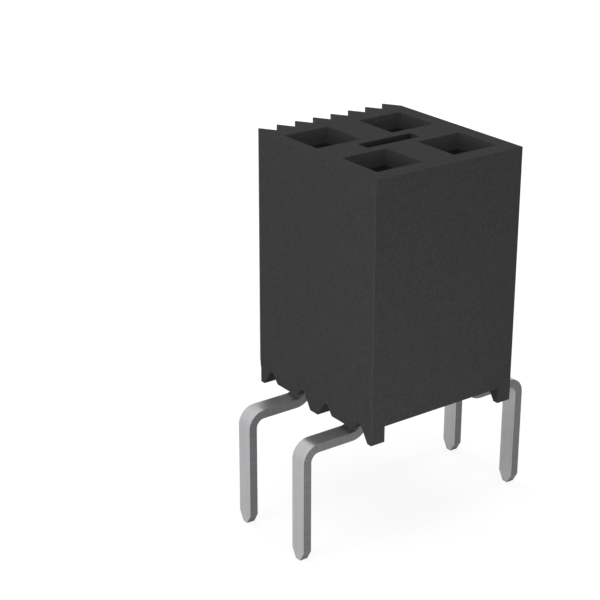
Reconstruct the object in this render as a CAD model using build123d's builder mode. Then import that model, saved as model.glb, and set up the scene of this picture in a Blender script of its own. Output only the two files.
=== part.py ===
"""Dual-row socket strip, two positions long, for 0.64 mm square header pins.

A moulded housing holds one stamped contact behind each opening. Each contact's flat tail leaves
under the side wall, runs outward over the board and turns down into it.

X runs across the strip, from row to row. Y runs along it, towards the ridged end. Z is up.
The origin lies on the board, midway between the two rows and midway along the strip.
All sizes are in millimetres.
"""

from build123d import *

import os
from math import atan2, degrees, sqrt

# Layout
POSITIONS = 2
POSITION_PITCH = 2.54
ROW_PITCH = 2.54
TAIL_ROW_PITCH = 7.62

# Housing
BODY_WIDTH = 4.95
BODY_HEIGHT = 6.91
SIDE_WALL = 0.46
ROW_WALL = 0.86
TOP_WALL = 0.95
RIDGE_COUNT = 8
RIDGE_DEPTH = 0.46
RIDGE_CREST = 0.03

# Openings in the top face
ENTRY_WIDTH = 1.48
ENTRY_HOLE = 1.15
ENTRY_DEPTH = 0.39
SLOT_LENGTH = 1.79
SLOT_WIDTH = 0.42
SLOT_DEPTH = 3.40

# Feet and pads under the side walls
FOOT_HEIGHT = 0.455
FOOT_FLAT = 0.35
FOOT_SLOPE = 0.29
PAD_DROP = 0.255
PAD_FLAT = 0.93
PAD_SLOPE = 0.19
PAD_GAP = 0.245

# Contact stock and tail
STOCK = 0.25
TAIL_WIDTH = 0.52
TAIL_LENGTH = 3.23
TAIL_BEND = 0.25
LEG_BEND = 0.32
TIP_WIDTH = 0.18
TIP_LENGTH = 0.29

# Contact plate, held by its barbs in a groove beside the side wall
PLATE_INSET = 0.15
PLATE_WIDTH = 1.76
PLATE_HEIGHT = 1.10
BARB_COUNT = 2
BARB_REACH = 0.08
BARB_HEIGHT = 0.36

# Folded box and its two spring beams
BOX_WIDTH = 1.44
BOX_HEIGHT = 1.10
BOX_RISE = 0.12
FOLD_RADIUS = 0.10
WING_REACH = 0.40
BEAM_ROOT = 0.72
BEAM_TIP = 0.50
BEAM_BEND = 0.50
PIN_GAP = 0.44
MOUTH_GAP = 0.86
MOUTH_HEIGHT = 0.70

# Clearances
WALL_CLEARANCE = 0.015
GROOVE_CLEARANCE = 0.03
CAVITY_CLEARANCE = 0.12
BEAM_HEADROOM = 0.35

# Heights above the board
pad_bottom = STOCK + PAD_GAP
body_bottom = pad_bottom + PAD_DROP
body_top = body_bottom + BODY_HEIGHT
cavity_top = body_top - TOP_WALL
plate_bottom = body_bottom + PLATE_INSET
plate_top = plate_bottom + PLATE_HEIGHT
box_bottom = plate_top + BOX_RISE
box_top = box_bottom + BOX_HEIGHT
beam_top = cavity_top - BEAM_HEADROOM
touch_height = beam_top - MOUTH_HEIGHT

# Places across and along the strip
body_length = POSITIONS * POSITION_PITCH
wall_face = BODY_WIDTH / 2 - SIDE_WALL
pin_axis = ROW_PITCH / 2
bend_bulge = LEG_BEND - sqrt(LEG_BEND**2 - max(0, LEG_BEND - PAD_GAP) ** 2)
plate_outer = wall_face - WALL_CLEARANCE - bend_bulge
plate_middle = plate_outer - STOCK / 2
plate_inner = plate_outer - STOCK
wing_end = pin_axis - WING_REACH
groove_width = PLATE_WIDTH + 2 * BARB_REACH
position_places = [(n - (POSITIONS - 1) / 2) * POSITION_PITCH for n in range(POSITIONS)]
foot_places = [(n - POSITIONS / 2) * POSITION_PITCH for n in range(POSITIONS + 1)]
cell_places = [(side * pin_axis, place) for side in (-1, 1) for place in position_places]


def stand_off(flat, slope, drop):
    """One tapered foot or pad below the body, for a sketch in the YZ plane."""
    return Polygon(
        (-flat / 2 - slope, body_bottom),
        (-flat / 2, body_bottom - drop),
        (flat / 2, body_bottom - drop),
        (flat / 2 + slope, body_bottom),
        align=None,
    )


with BuildPart() as housing:
    # Plain block
    with BuildSketch(Plane.XY.offset(body_bottom)):
        Rectangle(BODY_WIDTH, body_length)
    extrude(amount=BODY_HEIGHT)

    # Upright ridges across one end
    ridge_pitch = BODY_WIDTH / RIDGE_COUNT
    with BuildSketch(Plane.XY.offset(body_bottom)):
        with Locations((0, body_length / 2)):
            with GridLocations(ridge_pitch, 0, RIDGE_COUNT, 1):
                Polygon(
                    (-ridge_pitch / 2, 0),
                    (ridge_pitch / 2, 0),
                    (RIDGE_CREST / 2, RIDGE_DEPTH),
                    (-RIDGE_CREST / 2, RIDGE_DEPTH),
                    align=None,
                )
    extrude(amount=BODY_HEIGHT)

    # Feet and pads, as thick as the side walls that they hang from
    for side in (-1, 1):
        with BuildSketch(Plane.YZ.offset(side * wall_face)):
            with Locations([(place, 0) for place in foot_places]):
                stand_off(FOOT_FLAT, FOOT_SLOPE, FOOT_HEIGHT)
            with Locations([(place, 0) for place in position_places]):
                stand_off(PAD_FLAT, PAD_SLOPE, PAD_DROP)
            with Locations((0, body_bottom)):
                Rectangle(body_length, 2 * FOOT_HEIGHT, mode=Mode.INTERSECT)
        extrude(amount=side * SIDE_WALL)

    # Cavities behind the openings, open below
    cavity_width = BOX_WIDTH + 2 * CAVITY_CLEARANCE
    cavity_reach = wall_face - ROW_WALL / 2
    with BuildSketch(Plane.XY.offset(body_bottom)):
        for side in (-1, 1):
            with Locations([(side * (wall_face + ROW_WALL / 2) / 2, place) for place in position_places]):
                Rectangle(cavity_reach, cavity_width)
    extrude(amount=cavity_top - body_bottom, mode=Mode.SUBTRACT)

    # Grooves that hold the contact plates and stop them at the top
    groove_depth = wall_face - plate_inner + GROOVE_CLEARANCE
    with BuildSketch(Plane.XY.offset(body_bottom)):
        for side in (-1, 1):
            with Locations([(side * (wall_face - groove_depth / 2), place) for place in position_places]):
                Rectangle(groove_depth, groove_width)
    extrude(amount=plate_top - body_bottom, mode=Mode.SUBTRACT)

    # Tapered entries and the square holes below them
    entry_taper = degrees(atan2((ENTRY_WIDTH - ENTRY_HOLE) / 2, ENTRY_DEPTH))
    with BuildSketch(Plane.XY.offset(body_top)):
        with Locations(cell_places):
            Rectangle(ENTRY_WIDTH, ENTRY_WIDTH)
    extrude(amount=-ENTRY_DEPTH, taper=entry_taper, mode=Mode.SUBTRACT)
    with BuildSketch(Plane.XY.offset(body_top)):
        with Locations(cell_places):
            Rectangle(ENTRY_HOLE, ENTRY_HOLE)
    extrude(amount=-TOP_WALL, mode=Mode.SUBTRACT)

    # Blind slot between the positions
    slot_places = [(0, place) for place in foot_places[1:-1]]
    if slot_places:
        with BuildSketch(Plane.XY.offset(body_top)):
            with Locations(slot_places):
                Rectangle(SLOT_LENGTH, SLOT_WIDTH)
        extrude(amount=-SLOT_DEPTH, mode=Mode.SUBTRACT)


with BuildPart() as contact:
    # Leg, run and tail: one strip, bent outward under the wall and down at the tail row
    tail_middle = TAIL_ROW_PITCH / 2
    with BuildSketch(Plane.XZ):
        with BuildLine():
            FilletPolyline(
                (plate_middle, plate_top),
                (plate_middle, STOCK / 2),
                (tail_middle, STOCK / 2),
                (tail_middle, -TAIL_LENGTH),
                radius=[LEG_BEND + STOCK / 2, TAIL_BEND + STOCK / 2],
            )
        trace(line_width=STOCK)
    extrude(amount=TAIL_WIDTH / 2, both=True)

    # Chisel tip
    with BuildSketch(Plane.YZ.offset(tail_middle)):
        for side in (-1, 1):
            Polygon(
                (side * TAIL_WIDTH / 2, -TAIL_LENGTH + TIP_LENGTH),
                (side * TAIL_WIDTH / 2, -TAIL_LENGTH),
                (side * TIP_WIDTH / 2, -TAIL_LENGTH),
                align=None,
            )
    extrude(amount=STOCK, both=True, mode=Mode.SUBTRACT)

    # Plate with its barbs, and the web up to the folded box
    barb_pitch = PLATE_HEIGHT / BARB_COUNT
    with BuildSketch(Plane.YZ.offset(plate_inner)):
        with Locations((0, (plate_bottom + plate_top) / 2)):
            Rectangle(PLATE_WIDTH, PLATE_HEIGHT)
        with Locations([(0, plate_bottom + n * barb_pitch) for n in range(BARB_COUNT)]):
            Polygon(
                (-groove_width / 2, 0),
                (groove_width / 2, 0),
                (PLATE_WIDTH / 2, BARB_HEIGHT),
                (-PLATE_WIDTH / 2, BARB_HEIGHT),
                align=None,
            )
        with Locations((0, (plate_bottom + box_top) / 2)):
            Rectangle(BOX_WIDTH - 2 * (FOLD_RADIUS + STOCK), box_top - plate_bottom)
    extrude(amount=STOCK)

    # Box: two wings folded inward from the edges of the plate
    wing_middle = (BOX_WIDTH - STOCK) / 2
    with BuildSketch(Plane.XY.offset(box_bottom)):
        with BuildLine():
            FilletPolyline(
                (wing_end, wing_middle),
                (plate_middle, wing_middle),
                (plate_middle, -wing_middle),
                (wing_end, -wing_middle),
                radius=FOLD_RADIUS + STOCK / 2,
            )
        trace(line_width=STOCK)
    extrude(amount=box_top - box_bottom)

    # Spring beams, closing on the pin and flared at the mouth
    touch_middle = (PIN_GAP + STOCK) / 2
    mouth_middle = (MOUTH_GAP + STOCK) / 2
    with BuildSketch(Plane.YZ.offset(wing_end)):
        for side in (-1, 1):
            with BuildLine():
                FilletPolyline(
                    (side * wing_middle, box_bottom),
                    (side * wing_middle, box_top),
                    (side * touch_middle, touch_height),
                    (side * mouth_middle, beam_top),
                    radius=BEAM_BEND,
                )
            trace(line_width=STOCK)
    extrude(amount=BEAM_ROOT)
    with BuildSketch(Plane.XZ):
        Polygon(
            (wing_end + BEAM_ROOT, box_top),
            (wing_end + BEAM_ROOT, beam_top + STOCK),
            (wing_end + BEAM_TIP, beam_top + STOCK),
            align=None,
        )
    extrude(amount=BOX_WIDTH, both=True, mode=Mode.SUBTRACT)


os.makedirs("parts", exist_ok=True)

housing.part.label = "housing"
export_step(housing.part, "parts/housing.step")

for row, turn in (("left", 180), ("right", 0)):
    for number, place in enumerate(position_places, start=1):
        placed = contact.part.moved(Location((0, place, 0), (0, 0, turn)))
        placed.label = f"contact_{row}_{number}"
        export_step(placed, f"parts/{placed.label}.step")
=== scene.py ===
"""Dresses the socket strip: moulded black housing, tin-plated contacts, white studio."""

import math

import bpy
from mathutils import Euler, Matrix, Vector


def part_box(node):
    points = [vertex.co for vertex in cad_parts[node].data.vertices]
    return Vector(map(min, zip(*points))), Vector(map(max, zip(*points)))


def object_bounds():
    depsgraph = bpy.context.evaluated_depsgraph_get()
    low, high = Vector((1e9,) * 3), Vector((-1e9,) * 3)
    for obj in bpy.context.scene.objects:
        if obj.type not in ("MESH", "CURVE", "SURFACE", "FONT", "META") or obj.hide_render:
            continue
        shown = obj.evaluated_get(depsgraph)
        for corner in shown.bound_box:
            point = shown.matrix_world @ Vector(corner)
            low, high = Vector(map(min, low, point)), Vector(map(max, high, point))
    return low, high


MM = 0.001

# Camera: its place in millimetres, its angles in degrees and its lens in millimetres
CAMERA_PLACE = (-27.006, -32.926, 20.236)
CAMERA_HEADING = 36.154
CAMERA_TILT = 22.006
CAMERA_ROLL = 0.066
CAMERA_LENS = 99.16
SENSOR_WIDTH = 36.0

# Rounded edges of the housing, in millimetres, and the angles that choose them, in degrees
EDGE_WIDTH = 0.015
EDGE_SEGMENTS = 2
EDGE_ANGLE = 25.0
FLAT_ANGLE = 0.5
JOIN_GAP = 0.0001

# Sizes from the solids, in millimetres
FOOT_HEIGHT = 0.455
STOCK = 0.25
TAIL_BEND = 0.25

# Moulded plastic: colours, and a fine grain with a little wide mottle, as noise per millimetre
PLASTIC_COLOUR = (0.0373, 0.0373, 0.0373)
PLASTIC_SPECK = (0.0483, 0.0483, 0.0483)
PLASTIC_ROUGHNESS = 0.7
PLASTIC_GLOSS = 0.02
GRAIN_PER_MM = 14.0
GRAIN_DETAIL = 3.0
GRAIN_ROUGHNESS = 0.6
GRAIN_SHARE = 0.88
GRAIN_HEIGHT = 0.004
GRAIN_STRENGTH = 0.35
MOTTLE_PER_MM = 2.2
MOTTLE_SHARE = 0.12
SPECK_RANGE = (0.32, 0.68)

# The plain end's upright corners, with a painted highlight that makes them a little lighter, beyond a
# distance in millimetres
CORNER_HIGHLIGHT_COLOUR = (0.051, 0.051, 0.051)
CORNER_PLACE = 2.4
CORNER_FACING = (0.1, 0.3)

# Tin plate: clouds and faint lines along the strip, where the strip's length counts less than its width
TIN_COLOUR = (0.48, 0.48, 0.49)
TIN_CLOUD = 0.88
TIN_METAL = 0.8
TIN_ROUGHNESS = 0.35
CLOUDS_PER_MM = 1.6
CLOUD_SHARE = 0.4
CLOUD_RANGE = (0.3, 0.7)
DRAWN_PER_MM = 5.0
DRAWN_LENGTHWISE = 0.06
DRAWN_SHARE = 0.6
TIN_DETAIL = 3.0

# Sheared edges: streaks across the strip's thickness
SHEAR_COLOUR = (0.176, 0.178, 0.186)
SHEAR_STREAK = 0.82
SHEAR_ROUGHNESS = 0.6
SHEAR_FACING = (0.6, 0.9)
STREAKS_PER_MM = 18.0
STREAK_CROSSWISE = 0.1
STREAK_RANGE = (0.35, 0.65)
STREAK_HEIGHT = 0.003
STREAK_STRENGTH = 0.3

# Studio: light levels, where 1 is white, of the world, and of the floor as the object is lit by it,
# as metal mirrors it and as the camera sees it. What the camera sees rises to the far level over a range
# of distances, in millimetres like the floor's size.
WORLD_LIGHT = 0.38
FLOOR_COLOUR = (0.55, 0.55, 0.55)
MIRRORED_COLOUR = (0.9, 0.9, 0.9)
MIRRORED_GLOW = 0.08
SEEN_COLOUR = (0.25, 0.25, 0.25)
SEEN_GLOW = 0.82
FAR_GLOW = 0.95
GLOW_RISE = (15.0, 60.0)
FLOOR_SIZE = 2000.0
WHITE = (1.0, 1.0, 1.0)

# Lamps: place in millimetres, diameter in millimetres and power in watts
LAMPS = {
    "left_lamp": ((-89.5, 0.0, 9.4), 40.0, 0.0384),
    "top_lamp": ((-12.5, 0.0, 89.1), 100.0, 0.0324),
    "front_lamp": ((0.0, -89.5, 9.4), 40.0, 0.0176),
    "near_lamp": ((-6.0, -14.0, -1.0), 6.0, 0.000552),
    "right_lamp": ((89.5, 0.0, 9.4), 40.0, 0.0352),
    "back_lamp": ((0.0, 89.5, 9.4), 40.0, 0.032),
}


class Tree:
    """A node tree with short ways to add and join nodes."""

    def __init__(self, tree):
        self.tree = tree
        tree.nodes.clear()

    def add(self, kind, **settings):
        node = self.tree.nodes.new(kind)
        for name, value in settings.items():
            setattr(node, name, value)
        return node

    def feed(self, socket, value):
        """Joins an output to a socket, or sets the socket to a plain value."""
        if isinstance(value, bpy.types.NodeSocket):
            self.tree.links.new(value, socket)
        elif isinstance(value, tuple) and len(value) == 3 and socket.type == "RGBA":
            socket.default_value = (*value, 1.0)
        else:
            socket.default_value = value

    def maths(self, operation, *values):
        node = self.add("ShaderNodeMath", operation=operation)
        for socket, value in zip(node.inputs, values):
            self.feed(socket, value)
        return node.outputs[0]

    def mix(self, first, first_share, second, second_share):
        """The sum of two values, each times its share."""
        part = self.maths("MULTIPLY", second, second_share)
        return self.maths("MULTIPLY_ADD", first, first_share, part)

    def split(self, vector):
        node = self.add("ShaderNodeSeparateXYZ")
        self.feed(node.inputs[0], vector)
        return node.outputs

    def merge(self, x, y, z):
        node = self.add("ShaderNodeCombineXYZ")
        for socket, value in zip(node.inputs, (x, y, z)):
            self.feed(socket, value)
        return node.outputs[0]

    def noise(self, vector, per_mm, detail=2.0, roughness=0.5):
        node = self.add("ShaderNodeTexNoise")
        self.feed(node.inputs["Vector"], vector)
        self.feed(node.inputs["Scale"], per_mm / MM)
        self.feed(node.inputs["Detail"], detail)
        self.feed(node.inputs["Roughness"], roughness)
        return node.outputs["Fac"]

    def length(self, vector):
        node = self.add("ShaderNodeVectorMath", operation="LENGTH")
        self.feed(node.inputs[0], vector)
        return node.outputs["Value"]

    def ramp(self, value, low, high, start=0.0, end=1.0):
        node = self.add("ShaderNodeMapRange")
        for name, setting in (
            ("Value", value), ("From Min", low), ("From Max", high), ("To Min", start), ("To Max", end),
        ):
            self.feed(node.inputs[name], setting)
        return node.outputs["Result"]

    def blend(self, factor, first, second):
        node = self.add("ShaderNodeMix", data_type="RGBA")
        self.feed(node.inputs["Factor"], factor)
        self.feed(node.inputs[6], first)
        self.feed(node.inputs[7], second)
        return node.outputs[2]

    def bump(self, height, strength, distance):
        node = self.add("ShaderNodeBump")
        self.feed(node.inputs["Height"], height)
        self.feed(node.inputs["Strength"], strength)
        self.feed(node.inputs["Distance"], distance * MM)
        return node.outputs[0]

    def shader(self, **inputs):
        """A Principled shader, with its inputs by name and underscores for spaces."""
        node = self.add("ShaderNodeBsdfPrincipled")
        for name, value in inputs.items():
            self.feed(node.inputs[name.replace("_", " ")], value)
        output = self.add("ShaderNodeOutputMaterial")
        self.feed(output.inputs["Surface"], node.outputs[0])
        return node


def new_material(name):
    material = bpy.data.materials.new(name)
    material.use_nodes = True
    return material, Tree(material.node_tree)


def painted_corner_highlight(tree, coordinates):
    """1 on the rounded upright corners of the plain end, where a painted highlight goes, and 0
    elsewhere.
    """
    facing = tree.split(coordinates.outputs["Normal"])
    place = tree.split(coordinates.outputs["Object"])
    both_ways = tree.maths("ABSOLUTE", tree.maths("MULTIPLY", facing["X"], facing["Y"]))
    outside = tree.maths("GREATER_THAN", tree.maths("ABSOLUTE", place["X"]), CORNER_PLACE * MM)
    plain_end = tree.maths("LESS_THAN", place["Y"], -CORNER_PLACE * MM)
    corner = tree.maths("MULTIPLY", outside, plain_end)
    return tree.maths("MULTIPLY", corner, tree.ramp(both_ways, *CORNER_FACING))


def plastic():
    """Matte black thermoplastic with a fine moulded grain, and a painted highlight on the plain end's
    upright corners.
    """
    material, tree = new_material("housing_plastic")
    coordinates = tree.add("ShaderNodeTexCoord")
    place = coordinates.outputs["Object"]
    grain = tree.noise(place, GRAIN_PER_MM, GRAIN_DETAIL, GRAIN_ROUGHNESS)
    mottle = tree.noise(place, MOTTLE_PER_MM)
    speck = tree.mix(grain, GRAIN_SHARE, mottle, MOTTLE_SHARE)
    colour = tree.blend(tree.ramp(speck, *SPECK_RANGE), PLASTIC_COLOUR, PLASTIC_SPECK)
    tree.shader(
        # Painted highlight: the plain end's upright corners are made a little lighter than the plastic.
        Base_Color=tree.blend(painted_corner_highlight(tree, coordinates), colour, CORNER_HIGHLIGHT_COLOUR),
        Roughness=PLASTIC_ROUGHNESS,
        Specular_IOR_Level=PLASTIC_GLOSS,
        Normal=tree.bump(grain, GRAIN_STRENGTH, GRAIN_HEIGHT),
    )
    return material


def along_tail(tree, across, height, tail_face):
    """Distance along a tail's strip, which runs outward, turns about the bend's centre and goes down."""
    bend_across = tail_face - (STOCK + TAIL_BEND) * MM
    bend_height = -TAIL_BEND * MM
    middle_radius = (TAIL_BEND + STOCK / 2) * MM
    outward = tree.maths("SUBTRACT", tree.maths("ABSOLUTE", across), bend_across)
    upward = tree.maths("SUBTRACT", height, bend_height)
    beyond = tree.maths("MAXIMUM", outward, 0.0)
    above = tree.maths("MAXIMUM", upward, 0.0)
    angle = tree.maths("ARCTAN2", beyond, above)
    run = tree.maths("MINIMUM", outward, 0.0)
    drop = tree.maths("MAXIMUM", tree.maths("MULTIPLY", upward, -1.0), 0.0)
    return tree.maths("MULTIPLY_ADD", angle, middle_radius, tree.maths("ADD", run, drop))


def tin_plate(body_bottom, tail_face):
    """Satin tin plate, with darker sheared edges along the tail below the housing."""
    material, tree = new_material("contact_tin")
    coordinates = tree.add("ShaderNodeTexCoord")
    place = coordinates.outputs["Object"]
    across, along, height = tree.split(place)
    facing = tree.split(coordinates.outputs["Normal"])
    sideways = tree.ramp(tree.maths("ABSOLUTE", facing["Y"]), *SHEAR_FACING)
    sheared = tree.maths("MULTIPLY", sideways, tree.maths("LESS_THAN", height, body_bottom))

    distance = along_tail(tree, across, height, tail_face)
    crosswise = tree.merge(distance, tree.maths("MULTIPLY", along, STREAK_CROSSWISE), 0.0)
    lengthwise = tree.merge(tree.maths("MULTIPLY", distance, DRAWN_LENGTHWISE), along, 0.0)
    streaks = tree.noise(crosswise, STREAKS_PER_MM, TIN_DETAIL)
    drawn = tree.noise(lengthwise, DRAWN_PER_MM)
    clouds = tree.noise(place, CLOUDS_PER_MM, TIN_DETAIL)
    cloud = tree.mix(clouds, CLOUD_SHARE, drawn, DRAWN_SHARE)
    dull_tin = tuple(TIN_CLOUD * c for c in TIN_COLOUR)
    dull_shear = tuple(SHEAR_STREAK * c for c in SHEAR_COLOUR)
    plate = tree.blend(tree.ramp(cloud, *CLOUD_RANGE), TIN_COLOUR, dull_tin)
    shear = tree.blend(tree.ramp(streaks, *STREAK_RANGE), SHEAR_COLOUR, dull_shear)
    tree.shader(
        Base_Color=tree.blend(sheared, plate, shear),
        Metallic=TIN_METAL,
        Roughness=tree.ramp(sheared, 0.0, 1.0, TIN_ROUGHNESS, SHEAR_ROUGHNESS),
        Normal=tree.bump(tree.maths("MULTIPLY", streaks, sheared), STREAK_STRENGTH, STREAK_HEIGHT),
    )
    return material


def round_edges(node):
    """Rounds a CAD node's sharp edges, after its faces are joined and its flat ones made whole."""
    joined = node.modifiers.new("joined", "WELD")
    joined.merge_threshold = JOIN_GAP * MM
    flat = node.modifiers.new("flat", "DECIMATE")
    flat.decimate_type = "DISSOLVE"
    flat.angle_limit = math.radians(FLAT_ANGLE)
    bevel = node.modifiers.new("edges", "BEVEL")
    bevel.width = EDGE_WIDTH * MM
    bevel.segments = EDGE_SEGMENTS
    bevel.use_clamp_overlap = False
    bevel.limit_method = "ANGLE"
    bevel.angle_limit = math.radians(EDGE_ANGLE)


def dress(frame):
    tail_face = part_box("contact_right_1")[1][0]
    body_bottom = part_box("housing")[0][2] + FOOT_HEIGHT * MM
    tin = tin_plate(body_bottom, tail_face)
    for name, node in frame["nodes"].items():
        node.data.materials.clear()
        if name == "housing":
            node.data.materials.append(plastic())
            round_edges(node)
        else:
            node.data.materials.append(tin)


def rays(tree):
    """1 for camera rays, and 1 for rays in reflections or through glass."""
    path = tree.add("ShaderNodeLightPath").outputs
    mirrored = tree.maths("MAXIMUM", path["Is Glossy Ray"], path["Is Transmission Ray"])
    return path["Is Camera Ray"], mirrored


def sky():
    world = bpy.data.worlds.new("studio")
    bpy.context.scene.world = world
    world.use_nodes = True
    world.cycles.sampling_method = "NONE"
    tree = Tree(world.node_tree)
    background = tree.add("ShaderNodeBackground")
    white = tree.maths("MAXIMUM", *rays(tree))
    tree.feed(background.inputs["Color"], WHITE)
    tree.feed(background.inputs["Strength"], tree.ramp(white, 0.0, 1.0, WORLD_LIGHT, 1.0))
    tree.feed(tree.add("ShaderNodeOutputWorld").inputs["Surface"], background.outputs[0])


def floor(height):
    """A pale floor that looks white, apart from the object's soft shadow."""
    bpy.ops.mesh.primitive_plane_add(size=FLOOR_SIZE * MM, location=(0, 0, height))
    plane = bpy.context.object
    plane.name = "floor"
    material, tree = new_material("floor_white")
    material.cycles.emission_sampling = "NONE"
    direct, mirrored = rays(tree)
    reach = tree.length(tree.add("ShaderNodeTexCoord").outputs["Object"])
    seen = tree.ramp(reach, *(MM * r for r in GLOW_RISE), SEEN_GLOW, FAR_GLOW)
    colour = tree.blend(mirrored, FLOOR_COLOUR, MIRRORED_COLOUR)
    glow = tree.maths("MULTIPLY", mirrored, MIRRORED_GLOW)
    tree.shader(
        Base_Color=tree.blend(direct, colour, SEEN_COLOUR),
        Roughness=1.0,
        Specular_IOR_Level=0.0,
        Emission_Color=WHITE,
        Emission_Strength=tree.maths("MULTIPLY_ADD", direct, seen, glow),
    )
    plane.data.materials.append(material)


def lamp(name, place, size, power):
    light = bpy.data.lights.new(name, "AREA")
    light.shape = "DISK"
    light.size = size * MM
    light.energy = power
    holder = bpy.data.objects.new(name, light)
    holder.location = Vector(place) * MM
    holder.rotation_euler = (-holder.location).to_track_quat("-Z", "Y").to_euler()
    bpy.context.scene.collection.objects.link(holder)


def camera():
    lens = bpy.data.cameras.new("camera")
    lens.sensor_width = SENSOR_WIDTH
    lens.lens = CAMERA_LENS
    lens.clip_start = MM
    holder = bpy.data.objects.new("camera", lens)
    facing = Euler((math.radians(90 - CAMERA_TILT), 0, math.radians(-CAMERA_HEADING))).to_matrix()
    roll = Matrix.Rotation(math.radians(CAMERA_ROLL), 3, "Z")
    holder.matrix_world = Matrix.Translation(Vector(CAMERA_PLACE) * MM) @ (facing @ roll).to_4x4()
    bpy.context.scene.collection.objects.link(holder)
    bpy.context.scene.camera = holder


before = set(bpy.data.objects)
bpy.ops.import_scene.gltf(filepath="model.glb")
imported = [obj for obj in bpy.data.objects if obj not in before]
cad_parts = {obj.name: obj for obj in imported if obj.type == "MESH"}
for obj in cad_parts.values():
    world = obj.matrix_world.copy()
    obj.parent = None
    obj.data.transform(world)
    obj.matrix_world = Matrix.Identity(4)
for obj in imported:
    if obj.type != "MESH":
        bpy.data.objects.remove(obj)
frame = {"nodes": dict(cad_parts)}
cad_low, cad_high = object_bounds()
dress(frame)
bpy.context.scene.view_settings.view_transform = "Standard"
sky()
floor(cad_low.z)
for name, settings in LAMPS.items():
    lamp(name, *settings)
camera()
